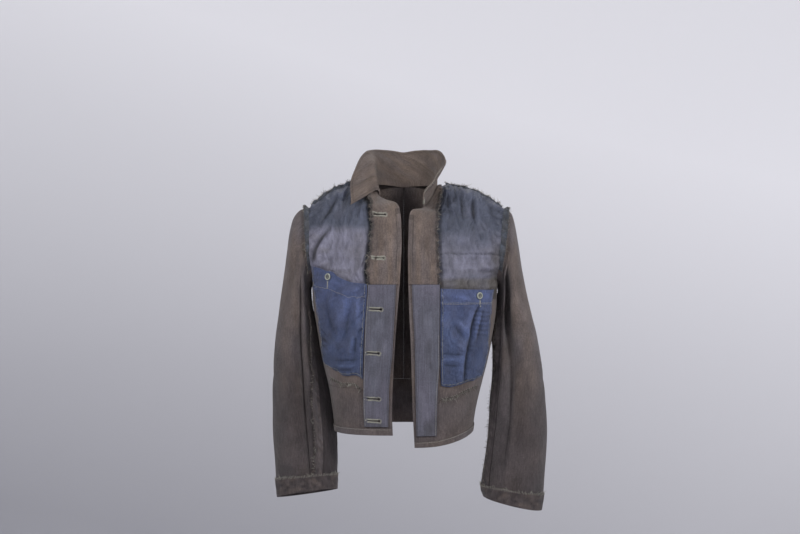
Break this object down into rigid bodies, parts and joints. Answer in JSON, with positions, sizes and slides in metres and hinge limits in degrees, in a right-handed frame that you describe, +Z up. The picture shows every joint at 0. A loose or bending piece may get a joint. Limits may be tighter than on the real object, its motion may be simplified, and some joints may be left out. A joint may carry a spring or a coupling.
{
  "type": "field jacket",
  "caption": "Waist-length wool field jacket worn inside out: hollow cloth shell with sleeves, standing collar, facings, chest lining and pocket bags.",
  "frame": {"origin": "midway between the shoulders at the base of the neck, where the wearer carries the jacket", "axes": "+Z up, -Y to the front, +X to the wearer's left"},
  "size_m": [0.5583, 0.2366, 0.7358],
  "materials": {
    "wool_serge": "brown-grey fulled wool serge with a short nap",
    "lining_satin": "faded blue-grey satin-weave rayon, soft sheen",
    "pocket_cotton": "washed blue plain-weave cotton",
    "facing_drill": "blue-grey cotton drill, matt",
    "pocket_button": "pale grey-green moulded button",
    "front_button": "dark olive moulded button"
  },
  "bodies": {
    "root": {"front_right": "wool_serge", "back_right": "wool_serge", "waistband_front_right": "wool_serge", "hem_turn_right": "wool_serge", "facing_upper_right": "wool_serge", "sleeve_top_right": "wool_serge", "sleeve_under_right": "wool_serge", "cuff_turn_right": "wool_serge", "sleeve_allowance_right": "wool_serge", "armhole_allowance_right": "wool_serge", "shoulder_allowance_right": "wool_serge", "facing_lower_right": "facing_drill", "chest_lining_right": "lining_satin", "pocket_bag_right": "pocket_cotton", "pocket_button_right": "pocket_button", "front_left": "wool_serge", "back_left": "wool_serge", "waistband_front_left": "wool_serge", "hem_turn_left": "wool_serge", "facing_upper_left": "wool_serge", "sleeve_top_left": "wool_serge", "sleeve_under_left": "wool_serge", "cuff_turn_left": "wool_serge", "sleeve_allowance_left": "wool_serge", "armhole_allowance_left": "wool_serge", "shoulder_allowance_left": "wool_serge", "facing_lower_left": "facing_drill", "chest_lining_left": "lining_satin", "pocket_bag_left": "pocket_cotton", "pocket_button_left": "pocket_button", "waistband_back": "wool_serge", "hem_turn_back": "wool_serge", "collar": "wool_serge", "front_button_1": "front_button", "front_button_2": "front_button", "front_button_3": "front_button", "front_button_4": "front_button", "front_button_5": "front_button", "front_button_6": "front_button"}
  },
  "joints": []
}
